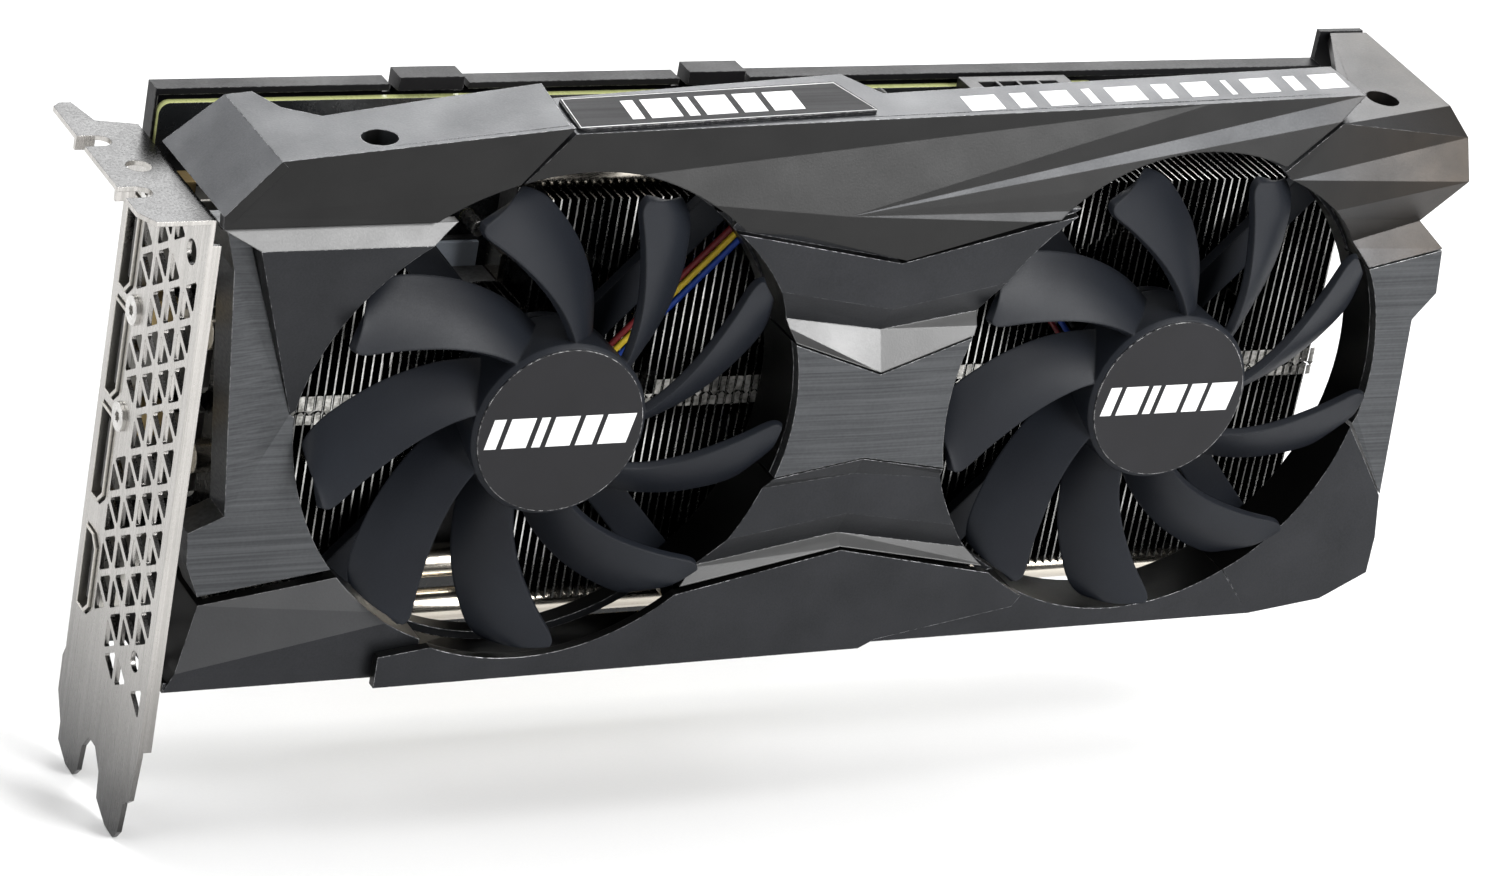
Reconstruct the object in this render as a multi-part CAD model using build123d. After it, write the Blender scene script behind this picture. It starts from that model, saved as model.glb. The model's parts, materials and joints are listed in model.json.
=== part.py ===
from build123d import *
import math
import os

# Dual-fan graphics card, millimetres.
# Origin: PCIe key-notch centre, bottom of the edge contacts, middle of the circuit board.
# +X runs from the bracket to the far end, the fans face -Y, the backplate faces +Y, +Z is up.

os.makedirs("parts", exist_ok=True)

# ---------------------------------------------------------------- driving dimensions
BRACKET_X = -59.05          # outer face of the slot bracket
SHEET = 0.86                # bracket sheet thickness
FLANGE_TOP = 106.15         # top of the bracket flange
BRACKET_HEIGHT = 120.02
BRACKET_FRONT = -36.0       # front edge of the two-slot bracket
BRACKET_BACK = 2.1
CARD_END = 184.0            # far end of the shroud

BOARD_T = 1.57
BOARD_LEFT = -56.0
BOARD_RIGHT = 126.0
BOARD_BOTTOM = 8.25
BOARD_TOP = 111.15
BOARD_FACE = -BOARD_T / 2

PLATE_BACK = 4.0            # outer face of the backplate
PLATE_T = 1.2
PLATE_TOP = 113.4

FAN_X = (7.9, 128.9)        # hub axes
FAN_Z = 66.45
FAN_NAMES = ("left", "right")
OPENING_R = 45.2
BLADE_TIP_R = 43.6
HUB_R = 16.15
HUB_FRONT = -40.0
HUB_BACK = -28.5
BLADES = 9
SHAFT_R = 1.5
RUNNING_GAP = 0.05

FIN_FRONT = -21.5
FIN_BACK = -9.2
FIN_PITCH = 1.6
FIN_T = 0.3
FIN_LEFT = -44.0
FIN_RIGHT = 173.0
FIN_BOTTOM = 23.0
FIN_SPLIT = 62.5            # height where the two fin stacks meet
FIN_TOP = 101.0
PIPE_R = 3.0

SHELL = 2.0                 # shroud wall
BOTTOM_EDGE = 17.8
MID_X = (FAN_X[0] + FAN_X[1]) / 2


# ---------------------------------------------------------------- helpers
def block(x0, x1, y0, y1, z0, z1):
    """Box between two corners."""
    centre = Pos((x0 + x1) / 2, (y0 + y1) / 2, (z0 + z1) / 2)
    return centre * Box(abs(x1 - x0), abs(y1 - y0), abs(z1 - z0))


def rod_y(x, z, radius, y0, y1):
    """Cylinder along Y."""
    return Pos(x, (y0 + y1) / 2, z) * Rot(90, 0, 0) * Cylinder(radius, abs(y1 - y0))


def rod_x(y, z, radius, x0, x1):
    """Cylinder along X."""
    return Pos((x0 + x1) / 2, y, z) * Rot(0, 90, 0) * Cylinder(radius, abs(x1 - x0))


def rod_z(x, y, radius, z0, z1):
    """Cylinder along Z."""
    return Pos(x, y, (z0 + z1) / 2) * Cylinder(radius, abs(z1 - z0))


def ring_y(x, z, outer, inner, y0, y1):
    """Tube along Y."""
    return rod_y(x, z, outer, y0, y1) - rod_y(x, z, inner, y0 - 1, y1 + 1)


def plate_xz(points, y0, y1):
    """Flat plate from an outline in X and Z."""
    outline = Polyline([(x, y1, z) for x, z in points], close=True)
    return extrude(make_face(outline), amount=y1 - y0, dir=(0, -1, 0))


def plate_yz(points, x0, x1):
    """Flat plate from an outline in Y and Z."""
    outline = Polyline([(x0, y, z) for y, z in points], close=True)
    return extrude(make_face(outline), amount=x1 - x0, dir=(1, 0, 0))


def plate_xy(points, z0, z1):
    """Flat plate from an outline in X and Y."""
    outline = Polyline([(x, y, z0) for x, y in points], close=True)
    return extrude(make_face(outline), amount=z1 - z0, dir=(0, 0, 1))


def skin(corners, direction=(0, 1, 0), depth=SHELL):
    """Facet of three or four corners, thickened along a direction; four corners make two triangles."""
    first = corners[0]
    pieces = []
    for a, b in zip(corners[1:], corners[2:]):
        face = make_face(Polyline([first, a, b], close=True))
        pieces.append(extrude(face, amount=depth, dir=direction))
    return pieces


def joined(pieces):
    """One solid from touching pieces."""
    first, *rest = pieces
    return first.fuse(*rest).clean()


def fan_openings(radius=OPENING_R, y0=-60, y1=-10):
    return [rod_y(x, FAN_Z, radius, y0, y1) for x in FAN_X]


def save(name, shapes):
    """Write one node; a list becomes separate solids in one file."""
    if not isinstance(shapes, (list, tuple)):
        shapes = [shapes]
    solids = [solid for shape in shapes for solid in shape.solids()]
    export_step(Compound(children=solids) if len(solids) > 1 else solids[0], f"parts/{name}.step")


# ---------------------------------------------------------------- circuit board and its parts
CONTACT_SEGMENTS = ((-12.6, -0.95), (0.95, 72.6))
CONTACT_PITCH = 1.0
TONGUE_TOP = BOARD_BOTTOM + 1
BOARD_HOLES = [(-50, 104), (-34, 17), (58, 106), (118, 17), (121, 90)]
CHIP = (30.0, 62.0)         # graphics chip centre, X and Z
CHIP_HOLE_SPACING = 53.0


def chip_holes():
    half = CHIP_HOLE_SPACING / 2
    return [(CHIP[0] + sx * half, CHIP[1] + sz * half) for sx in (-1, 1) for sz in (-1, 1)]


def circuit_board():
    y0, y1 = -BOARD_T / 2, BOARD_T / 2
    board = block(BOARD_LEFT, BOARD_RIGHT, y0, y1, BOARD_BOTTOM, BOARD_TOP)
    board = fillet(board.edges().filter_by(Axis.Y), 2.0)
    for x0, x1 in CONTACT_SEGMENTS:
        outline = [(x0, TONGUE_TOP), (x0, 0.8), (x0 + 0.6, 0), (x1 - 0.6, 0), (x1, 0.8), (x1, TONGUE_TOP)]
        board += plate_xz(outline, y0, y1)
    hook = [(76.5, TONGUE_TOP), (76.5, 1.5), (84.5, 1.5), (84.5, 4.2), (80.5, 4.2), (80.5, TONGUE_TOP)]
    board += plate_xz(hook, y0, y1)
    for x, z in BOARD_HOLES:
        board -= rod_y(x, z, 1.6, -2, 2)
    for x, z in chip_holes():
        board -= rod_y(x, z, 1.5, -2, 2)
    return board


def edge_contacts():
    pads = []
    for x0, x1 in CONTACT_SEGMENTS:
        count = int((x1 - x0) / CONTACT_PITCH)
        start = (x0 + x1) / 2 - (count - 1) * CONTACT_PITCH / 2
        for i in range(count):
            x = start + i * CONTACT_PITCH
            for side in (-1, 1):
                face = side * BOARD_T / 2
                pads.append(block(x - 0.35, x + 0.35, face, face + side * 0.06, 1.2, 6.8))
    return pads


def chip_package():
    half = 20.0
    return block(CHIP[0] - half, CHIP[0] + half, BOARD_FACE - 1.6, BOARD_FACE, CHIP[1] - half, CHIP[1] + half)


def chip_die():
    top = BOARD_FACE - 1.6
    return block(CHIP[0] - 11, CHIP[0] + 11, top - 0.8, top, CHIP[1] - 9, CHIP[1] + 9)


def memory_centres():
    left = [(CHIP[0] - 30, CHIP[1] + dz) for dz in (-16, 0, 16)]
    right = [(CHIP[0] + 30, CHIP[1] + dz) for dz in (-16, 0, 16)]
    below = [(CHIP[0] + dx, CHIP[1] - 30) for dx in (-8.5, 8.5)]
    return left + right + below


def memory_chips():
    return [block(x - 6, x + 6, BOARD_FACE - 1.1, BOARD_FACE, z - 7, z + 7) for x, z in memory_centres()]


def choke_centres():
    upper_left = [(-32 + 9.2 * i, 86) for i in range(3)]
    right = [(86, 34 + 9.2 * i) for i in range(5)]
    return upper_left + right


def chokes():
    bodies = []
    for x, z in choke_centres():
        body = block(x - 4, x + 4, BOARD_FACE - 6, BOARD_FACE, z - 4, z + 4)
        bodies.append(fillet(body.edges().filter_by(Axis.Y), 1.0))
    return bodies


def power_stages():
    y0, y1 = BOARD_FACE - 0.9, BOARD_FACE
    below = [block(x - 2.5, x + 2.5, y0, y1, z - 12, z - 6) for x, z in choke_centres()[:3]]
    beside = [block(x + 7, x + 12, y0, y1, z - 3, z + 3) for x, z in choke_centres()[3:]]
    return below + beside


def capacitors():
    centres = [(-31 + 9.2 * i, 96.5) for i in range(4)] + [(106, 36 + 10 * i) for i in range(5)]
    return [rod_y(x, z, 3.1, BOARD_FACE - 7.5, BOARD_FACE) for x, z in centres]


POWER_X = (96.0, 118.0)
POWER_Y = (-13.2, BOARD_FACE)
POWER_Z = (99.5, 113.0)
POWER_PITCH = 4.2


def power_socket():
    body = block(*POWER_X, *POWER_Y, *POWER_Z)
    mid_x = sum(POWER_X) / 2
    mid_y = sum(POWER_Y) / 2
    for col in range(4):
        for row in (-1, 1):
            x = mid_x + (col - 1.5) * POWER_PITCH
            y = mid_y + row * POWER_PITCH / 2
            body -= block(x - 1.8, x + 1.8, y - 1.8, y + 1.8, POWER_Z[1] - 11, POWER_Z[1] + 1)
    latch = block(mid_x - 2.5, mid_x + 2.5, POWER_Y[0] - 1.6, POWER_Y[0], POWER_Z[1] - 6, POWER_Z[1] - 3)
    return body + latch


def power_pins():
    mid_x = sum(POWER_X) / 2
    mid_y = sum(POWER_Y) / 2
    pins = []
    for col in range(4):
        for row in (-1, 1):
            x = mid_x + (col - 1.5) * POWER_PITCH
            y = mid_y + row * POWER_PITCH / 2
            pins.append(rod_z(x, y, 0.7, POWER_Z[1] - 11, POWER_Z[1] - 2))
    return pins


HEADER_CENTRES = ((65.0, 103.5), (76.0, 103.5))


def fan_headers():
    headers = []
    for x, z in HEADER_CENTRES:
        body = block(x - 5, x + 5, BOARD_FACE - 5.5, BOARD_FACE, z - 3, z + 3)
        headers.append(body - block(x - 4.2, x + 4.2, BOARD_FACE - 6, BOARD_FACE - 1.2, z - 2.2, z + 3.5))
    return headers


def fan_plugs():
    y0, y1 = BOARD_FACE - 7.5, BOARD_FACE - 1.4
    return [block(x - 4, x + 4, y0, y1, z - 2, z + 3.2) for x, z in HEADER_CENTRES]


# ---------------------------------------------------------------- display sockets
PORT_Y = (-6.6, -1.0)       # socket shells stand on the front of the board
DP_CENTRES = (87.0, 67.0, 47.0)
DP_LENGTH = 17.6
HDMI_CENTRE = 24.5
HDMI_LENGTH = 15.4
PORT_DEPTH = 17.0
PORT_MOUTH = BRACKET_X - 0.5


def port_outline(centre, length, cut_low, cut_high, inset=0.0):
    """Socket outline in Y and Z with chamfered front corners."""
    back, front = PORT_Y[1] - inset, PORT_Y[0] + inset
    low, high = centre - length / 2 + inset, centre + length / 2 - inset
    return [(back, low), (front + cut_low, low), (front, low + cut_low),
            (front, high - cut_high), (front + cut_high, high), (back, high)]


def port_shell(centre, length, cut_low, cut_high):
    outer = plate_yz(port_outline(centre, length, cut_low, cut_high), PORT_MOUTH, PORT_MOUTH + PORT_DEPTH)
    inner = plate_yz(port_outline(centre, length, cut_low, cut_high, 0.45),
                     PORT_MOUTH - 1, PORT_MOUTH + PORT_DEPTH - 3)
    return outer - inner


def port_tongue(centre, length):
    middle = sum(PORT_Y) / 2 + 0.3
    return block(PORT_MOUTH + 1.0, PORT_MOUTH + PORT_DEPTH - 3.1, middle - 0.7, middle + 0.7,
                 centre - length / 2 + 2.2, centre + length / 2 - 2.2)


# ---------------------------------------------------------------- slot bracket
TAIL_TIP = FLANGE_TOP - BRACKET_HEIGHT
GRID = 7.65                 # side of the triangular grille cells
RIB = 1.25
GRID_Y0 = -34.1
GRID_ROW0 = 26.0
FLANGE_DEPTH = 11.43
LIP_DEPTH = 2.3
SCREW_SPOTS = [(-9.0, 99.0), (-9.0, 77.0), (-9.0, 57.0)]


def bracket_outline():
    return [(BRACKET_BACK, FLANGE_TOP), (BRACKET_BACK, 6), (3.1, 4), (3.1, -3), (0.2, -8), (0.2, -11.5),
            (-4.5, TAIL_TIP), (-8.2, TAIL_TIP), (-10.2, -11.8), (-11.0, -6.5), (-13.5, -3.2), (-16.8, -3.2),
            (-19.8, -6.5), (-20.3, -11.5), (-25.5, TAIL_TIP), (-29.6, TAIL_TIP), (-31.4, -11.8),
            (-32.3, -5.6), (-34.8, -3.6), (BRACKET_FRONT, 5.5), (BRACKET_FRONT, FLANGE_TOP)]


def grille_cell(y, z, toward_front):
    """Triangular hole with one side along Z, its corners blunted."""
    side = GRID - RIB * math.sqrt(3)
    height = side * math.sqrt(3) / 2
    sign = -1 if toward_front else 1
    tip = y + sign * height * 2 / 3
    base = y - sign * height / 3
    blunt = 0.45
    return [(base, z - side / 2 + blunt), (base, z + side / 2 - blunt),
            (base + sign * blunt, z + side / 2 - blunt * 0.3), (tip - sign * blunt, z + blunt / 2),
            (tip - sign * blunt, z - blunt / 2), (base + sign * blunt, z - side / 2 + blunt * 0.3)]


def grille_centres():
    """Cell centres that leave room for the sockets, screws and edges."""
    column = GRID * math.sqrt(3) / 2
    centres = []
    for col in range(5):
        for row in range(-4, 14):
            for toward_front in (False, True):
                offset = column / 3 if toward_front else 2 * column / 3
                y = GRID_Y0 + col * column + column - offset
                line = GRID_ROW0 + row * GRID - col * GRID / 2
                z = line + (0 if toward_front else GRID / 2)
                centres.append((y, z, toward_front))
    return [c for c in centres if grille_allowed(c[0], c[1])]


def grille_allowed(y, z):
    if not (-33.5 < y < -7.2) or z > 101.5:
        return False
    low_limit = 13.5 if y < -24 else 13.0 + (y + 24) * 0.25
    if z < low_limit:
        return False
    if y > -12.5 and (z > 95 or z < 20):
        return False
    near_screw = any(math.hypot(y - sy, z - sz) < 5.2 for sy, sz in SCREW_SPOTS)
    near_hole = math.hypot(y + 29.5, z - 97.5) < 5.4 or math.hypot(y + 29.0, z - 20.5) < 4.6
    return not near_screw and not near_hole


def io_bracket():
    x0, x1 = BRACKET_X, BRACKET_X + SHEET
    plate = plate_yz(bracket_outline(), x0, x1)
    cuts = []
    for y, z, toward_front in grille_centres():
        cuts.append(plate_yz(grille_cell(y, z, toward_front), x0 - 1, x1 + 1))
    for centre in DP_CENTRES:
        cuts.append(plate_yz(port_outline(centre, DP_LENGTH, 2.2, 0.2, -0.35), x0 - 1, x1 + 1))
    cuts.append(plate_yz(port_outline(HDMI_CENTRE, HDMI_LENGTH, 1.9, 1.9, -0.35), x0 - 1, x1 + 1))
    for y, z in SCREW_SPOTS:
        cuts.append(rod_x(y, z, 1.6, x0 - 1, x1 + 1))
    cuts.append(rod_x(-29.5, 97.5, 2.2, x0 - 1, x1 + 1))
    cuts.append(rod_x(-29.0, 20.5, 1.9, x0 - 1, x1 + 1))
    plate = plate.cut(*cuts)
    lip = block(x0, x0 + LIP_DEPTH, BRACKET_FRONT, BRACKET_FRONT + SHEET, 6.5, 101.5)
    return plate + lip + bracket_flange()


def bracket_flange():
    """Bent top with two open screw notches, a round hole and a corner tongue."""
    inner, outer = BRACKET_X + SHEET, BRACKET_X - FLANGE_DEPTH
    z0, z1 = FLANGE_TOP - SHEET, FLANGE_TOP
    outline = [(inner, BRACKET_FRONT), (outer + 2, BRACKET_FRONT), (outer, BRACKET_FRONT + 4), (outer, 10.0),
               (outer + 1.5, 11.5), (outer + 3.6, 11.5), (outer + 5.2, 4.0), (inner, BRACKET_BACK)]
    flange = plate_xy(outline, z0, z1)
    for y in (-24.5, -4.2):
        flange -= block(outer - 1, outer + 3.2, y - 2.1, y + 2.1, z0 - 1, z1 + 1)
        flange -= rod_z(outer + 3.2, y, 2.1, z0 - 1, z1 + 1)
        flange += block(outer, outer + 3.4, y + 2.3, y + 3.1, z0 - 1.8, z0)
    return flange - rod_z(-64.0, -14.5, 2.2, z0 - 1, z1 + 1)


def torx_screw(y, z):
    """Countersunk-style pan head screw driven from outside the bracket."""
    head = rod_x(y, z, 2.6, BRACKET_X - 0.7, BRACKET_X)
    shank = rod_x(y, z, 1.45, BRACKET_X, BRACKET_X + 5)
    x0, x1 = BRACKET_X - 1, BRACKET_X + 0.2
    socket = rod_x(y, z, 0.85, x0, x1)
    for k in range(6):
        angle = math.radians(60 * k)
        socket += rod_x(y + 0.75 * math.cos(angle), z + 0.75 * math.sin(angle), 0.3, x0, x1)
    return head + shank - socket


def bracket_posts():
    """Threaded blocks on the board that take the bracket screws."""
    posts = []
    for y, z in SCREW_SPOTS:
        post = block(BRACKET_X + SHEET, BRACKET_X + SHEET + 6, y - 2.6, y + 2.0, z - 2.6, z + 2.6)
        posts.append(post - rod_x(y, z, 1.5, BRACKET_X, BRACKET_X + 8))
    return posts


# ---------------------------------------------------------------- backplate
BACKPLATE_RIGHT = CARD_END - 0.5
VENT_X = (134.0, 170.0)
VENT_Z = (26.0, 96.0)
BUMPS = ((-13.0, -1.0), (42.0, 53.0))
HEAD_T = 1.1                # height of a pan head
PLATE_SEAT = PLATE_BACK - PLATE_T


def backplate():
    y0, y1 = PLATE_BACK - PLATE_T, PLATE_BACK
    plate = block(BOARD_LEFT - 0.6, BACKPLATE_RIGHT, y0, y1, 12.0, PLATE_TOP)
    plate += block(174.0, BACKPLATE_RIGHT, y0, y1, PLATE_TOP - 1, 119.2)
    rim = block(BOARD_LEFT - 0.6, 174.0, y0 - 2.6, y0, PLATE_TOP - 1.2, PLATE_TOP)
    for x0, x1 in BUMPS:
        rim += block(x0, x1, y0 - 3.4, y1, PLATE_TOP - 1, PLATE_TOP + 1.5)
        for edge in (x0 - 1.4, x1):
            plate -= block(edge, edge + 1.4, y0 - 4, y1 + 1, PLATE_TOP - 2.6, PLATE_TOP + 2)
            rim -= block(edge, edge + 1.4, y0 - 4, y1 + 1, PLATE_TOP - 2.6, PLATE_TOP + 2)
    side = block(BOARD_LEFT - 0.6, BOARD_LEFT - 0.1, y0 - 2.6, y0, 12.0, PLATE_TOP)
    end_wall = block(BACKPLATE_RIGHT - 1.2, BACKPLATE_RIGHT, y0 - 4.0, y0, 20.0, 100.0)
    plate = plate + rim + side + end_wall
    slots = 9
    pitch = (VENT_Z[1] - VENT_Z[0]) / slots
    for k in range(slots):
        z = VENT_Z[0] + k * pitch
        low, high = z + 1.2, z + pitch - 1.2
        outline = [(VENT_X[0], low), (VENT_X[1] - 6, low), (VENT_X[1], high), (VENT_X[0] + 6, high)]
        plate -= plate_xz(outline, y0 - 1, y1 + 1)
    half = CHIP_HOLE_SPACING / 2 + 4
    plate -= block(CHIP[0] - half, CHIP[0] + half, y0 - 1, y1 + 1, CHIP[1] - half, CHIP[1] + half)
    for x, z in BOARD_HOLES:
        plate -= rod_y(x, z, 2.9, y0 - 1, y1 + 1)
        plate += ring_y(x, z, 4.4, 1.6, BOARD_T / 2, PLATE_SEAT)
    return plate


def cross_screw(x, z, head_y, length, head_r=2.6, shank_r=1.45):
    """Pan head screw driven from +Y towards -Y."""
    top = head_y + HEAD_T
    screw = rod_y(x, z, head_r, head_y, top) + rod_y(x, z, shank_r, head_y - length, head_y)
    for angle in (0, 90):
        screw -= Pos(x, top, z) * Rot(0, angle, 0) * Box(2.6, 1.2, 0.55)
    return screw


RETENTION_Y = (BOARD_T / 2 + 0.1, BOARD_T / 2 + 0.9)
CHIP_HEAD_Y = PLATE_BACK - HEAD_T


def retention_plate():
    """Spring-steel cross that clamps the cooler behind the chip."""
    half = CHIP_HOLE_SPACING / 2
    y0, y1 = RETENTION_Y
    arms = ring_y(*CHIP, 16.0, 11.0, y0, y1)
    reach = half * math.sqrt(2)
    for angle in (45, 135, 225, 315):
        turn = Pos(CHIP[0], 0, CHIP[1]) * Rot(0, angle, 0)
        arms += turn * block(13, reach, y0, y1, -3.5, 3.5)
    for x, z in chip_holes():
        arms += rod_y(x, z, 5.0, y0, y1)
    for x, z in chip_holes():
        arms -= rod_y(x, z, 1.6, y0 - 1, y1 + 1)
    return arms


def spring_washers():
    """Spring washers between the cross and the heads of the chip screws."""
    return [ring_y(x, z, 2.9, 1.5, RETENTION_Y[1] + 0.1, CHIP_HEAD_Y - 0.05) for x, z in chip_holes()]


def chip_screws():
    return [cross_screw(x, z, CHIP_HEAD_Y, 9.0, 3.3, 1.4) for x, z in chip_holes()]


# ---------------------------------------------------------------- heatsink
PIPE_Y = -12.4
PIPE_ROWS = (               # height and left end of each straight pipe
    (27.0, FIN_LEFT - 3),
    (50.5, FIN_LEFT - 3),
    (74.0, FIN_LEFT - 3),
    (86.0, 12.0),
)
POCKET_X = (-13.0, 8.0)     # fins left out beside the chip
LOWER_POCKET_TOP = 45.0
UPPER_POCKET_BOTTOM = 80.0
EDGE_PIPE_Y = -15.5
LOWER_PIPE_Z = 19.9
UPPER_PIPE_Z = 104.05
HUB_RECESS_R = 25.0
HUB_RECESS = 3.0


def fin_positions():
    count = int((FIN_RIGHT - FIN_LEFT) / FIN_PITCH)
    return [FIN_LEFT + i * FIN_PITCH for i in range(count)]


def fin_stack(z0, z1, pocket):
    """Comb of upright fins joined by their folded back edges, recessed in front behind each hub."""
    outline = [(FIN_LEFT, FIN_BACK)]
    for x in fin_positions():
        outline += [(x, FIN_BACK - 0.4), (x, FIN_FRONT), (x + FIN_T, FIN_FRONT), (x + FIN_T, FIN_BACK - 0.4)]
    outline.append((x + FIN_T, FIN_BACK))
    comb = plate_xy(outline, z0, z1)
    bore, right = PIPE_R + RUNNING_GAP, FIN_RIGHT + 1
    cuts = [rod_x(PIPE_Y, z, bore, left, right) for z, left in PIPE_ROWS if z0 < z < z1]
    cuts += [rod_y(x, FAN_Z, HUB_RECESS_R, FIN_FRONT - 1, FIN_FRONT + HUB_RECESS) for x in FAN_X]
    cuts.append(block(*POCKET_X, FIN_FRONT - 1, FIN_BACK + 1, *pocket))
    cuts.append(block(POWER_X[0] - 1, POWER_X[1] + 1, POWER_Y[0] - 3, FIN_BACK + 1, POWER_Z[0] - 1, z1 + 1))
    return comb.cut(*cuts)


def fin_tabs():
    """Folded tab strips where the two fin stacks meet, one on each stack."""
    x1 = fin_positions()[-1] + FIN_T
    strips = [block(FIN_LEFT, x1, FIN_FRONT - 0.5, FIN_FRONT - 0.05, z, z + 1.6)
              for z in (FIN_SPLIT - 1.9, FIN_SPLIT + 0.3)]
    hubs = [rod_y(x, FAN_Z, HUB_RECESS_R, FIN_FRONT - 1, FIN_FRONT) for x in FAN_X]
    return [strip.cut(*hubs) for strip in strips]


def cold_plate():
    back = BOARD_FACE - 2.4
    return block(CHIP[0] - 23, CHIP[0] + 23, FIN_BACK + 0.05, back, CHIP[1] - 23, CHIP[1] + 23)


def base_frame():
    """Cast frame round the cold plate that presses on the memory and carries the fins."""
    y0, y1 = FIN_BACK + 0.05, BOARD_FACE - 2.2
    frame = block(CHIP[0] - 40, CHIP[0] + 40, y0, y1, 24, 99)
    frame -= block(CHIP[0] - 23.2, CHIP[0] + 23.2, y0 - 1, y1 + 1, CHIP[1] - 23.2, CHIP[1] + 23.2)
    for x, z in chip_holes():
        frame -= rod_y(x, z, 1.45, y1 - 4, y1 + 1)
    frame -= block(*POCKET_X, y0 - 1, y1 + 1, UPPER_POCKET_BOTTOM, FIN_TOP + 1)
    return frame


def memory_pads():
    return [block(x - 5.5, x + 5.5, BOARD_FACE - 2.15, BOARD_FACE - 1.15, z - 6.5, z + 6.5)
            for x, z in memory_centres()]


# ---------------------------------------------------------------- fans
BLADE_FRONT = -38.7
BLADE_BACK_ROOT = -30.6
BLADE_BACK_TIP = -32.8
BLADE_T = 1.5
BLADE_ROOT_R = 15.3
BLADE_ROWS = 11
CHORD_POINTS = 7
TIP_ROUND = 3.6
ARM_ANGLES = (48, 132, 228, 312)
ARM_REACH = 49.5
MOTOR_BASE = (-26.6, -24.9)
ARM_Y = (-24.9, -22.6)


def blade_angles(radius):
    """Angles of the leading and trailing edges in degrees, with rounded tip corners."""
    t = (radius - BLADE_ROOT_R) / (BLADE_TIP_R - BLADE_ROOT_R)
    front = -31.5 * (1 - t) + 3.0 * math.sin(math.pi * t)
    back = -58.0 + 40.0 * t ** 0.8
    into_tip = 0.92 * max(0.0, radius - (BLADE_TIP_R - TIP_ROUND)) / TIP_ROUND
    retreat = math.degrees(TIP_ROUND / radius) * (1 - math.sqrt(max(0.0, 1 - into_tip ** 2)))
    return front - retreat, back + retreat


def blade_radius(row):
    """Rows crowd towards the tip, where the outline turns quickest."""
    t = math.sin(math.pi / 2 * row / (BLADE_ROWS - 1))
    return BLADE_ROOT_R + (BLADE_TIP_R - 0.01 - BLADE_ROOT_R) * t


def blade():
    """Curved blade, its leading edge forward and its trailing edge towards the motor."""
    grid = []
    for row in range(BLADE_ROWS):
        radius = blade_radius(row)
        front, back = blade_angles(radius)
        t = (radius - BLADE_ROOT_R) / (BLADE_TIP_R - BLADE_ROOT_R)
        back_y = BLADE_BACK_ROOT + (BLADE_BACK_TIP - BLADE_BACK_ROOT) * t
        line = []
        for k in range(CHORD_POINTS):
            s = k / (CHORD_POINTS - 1)
            angle = math.radians(front + (back - front) * s)
            y = BLADE_FRONT + (back_y - BLADE_FRONT) * s - 0.9 * math.sin(math.pi * s)
            line.append((radius * math.cos(angle), y, radius * math.sin(angle)))
        grid.append(line)
    surface = Face.make_surface_from_array_of_points(
        [[Vector(*point) for point in line] for line in grid], tol=0.02, min_deg=3, max_deg=5)
    return thicken(surface, amount=BLADE_T / 2, both=True)


def rotor():
    """Hub cup and blades round the Y axis."""
    hub = rod_y(0, 0, HUB_R, HUB_FRONT, HUB_BACK)
    solid = chamfer(hub.edges().sort_by(Axis.Y)[0], 0.7)
    one = blade()
    for i in range(BLADES):
        solid += Rot(0, -360 / BLADES * i, 0) * one
    return solid - rod_y(0, 0, HUB_R - 1.6, HUB_FRONT + 1.5, HUB_BACK + 1)


def rotor_shaft():
    return rod_y(0, 0, SHAFT_R, HUB_FRONT + 1.5, -27.2)


def magnet_ring():
    return ring_y(0, 0, HUB_R - 1.65, HUB_R - 3.2, HUB_FRONT + 2.2, HUB_BACK + 0.4)


def hub_label():
    return rod_y(0, 0, HUB_R - 0.85, HUB_FRONT - 0.25, HUB_FRONT)


def stator():
    """Laminated core with nine wound teeth round the bearing tube."""
    y0, y1 = -36.6, -29.4
    core = ring_y(0, 0, 5.6, 3.6, y0 + 1.4, y1 - 1.4)
    for i in range(9):
        turn = Rot(0, 40 * i, 0)
        core += turn * block(5.0, 11.0, y0 + 1.4, y1 - 1.4, -0.9, 0.9)
        core += turn * block(10.6, 12.1, y0 + 1.4, y1 - 1.4, -3.0, 3.0)
    return core


def windings():
    coils = []
    for i in range(9):
        coil = block(6.2, 10.4, -36.4, -29.6, -1.9, 1.9) - block(6.0, 10.6, -35.3, -30.7, -0.95, 0.95)
        coils.append(Rot(0, 40 * i, 0) * coil)
    return coils


def bearing():
    """Sleeve bearing in the motor tube."""
    return ring_y(0, 0, 2.9, SHAFT_R + RUNNING_GAP, -36.8, -27.0)


def fan_frame():
    """Motor base with its tube and four arms that end in screw eyes."""
    base = rod_y(0, 0, 15.2, *MOTOR_BASE) + ring_y(0, 0, 3.55, 2.95, -36.8, MOTOR_BASE[1])
    for angle in ARM_ANGLES:
        turn = Rot(0, -angle, 0)
        arm = block(8, ARM_REACH, ARM_Y[0], ARM_Y[1], -3.2, 3.2)
        arm += rod_y(ARM_REACH, 0, 3.8, *ARM_Y)
        base += turn * (arm - rod_y(ARM_REACH, 0, 1.3, ARM_Y[0] - 1, ARM_Y[1] + 1))
    rib = block(-3.2, 3.2, ARM_Y[0], ARM_Y[1], -3.2, 3.2)
    return base + rib


def arm_eyes():
    """Centres of the screw eyes at the ends of all the fan arms, X and Z."""
    offsets = []
    for angle in ARM_ANGLES:
        turn = math.radians(angle)
        offsets.append((ARM_REACH * math.cos(turn), ARM_REACH * math.sin(turn)))
    return [(x + dx, FAN_Z + dz) for x in FAN_X for dx, dz in offsets]


def fan_screws():
    seat = ARM_Y[1]
    return [rod_y(x, z, 1.2, seat - 6, seat) + rod_y(x, z, 2.4, seat, seat + 0.9) for x, z in arm_eyes()]


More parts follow.
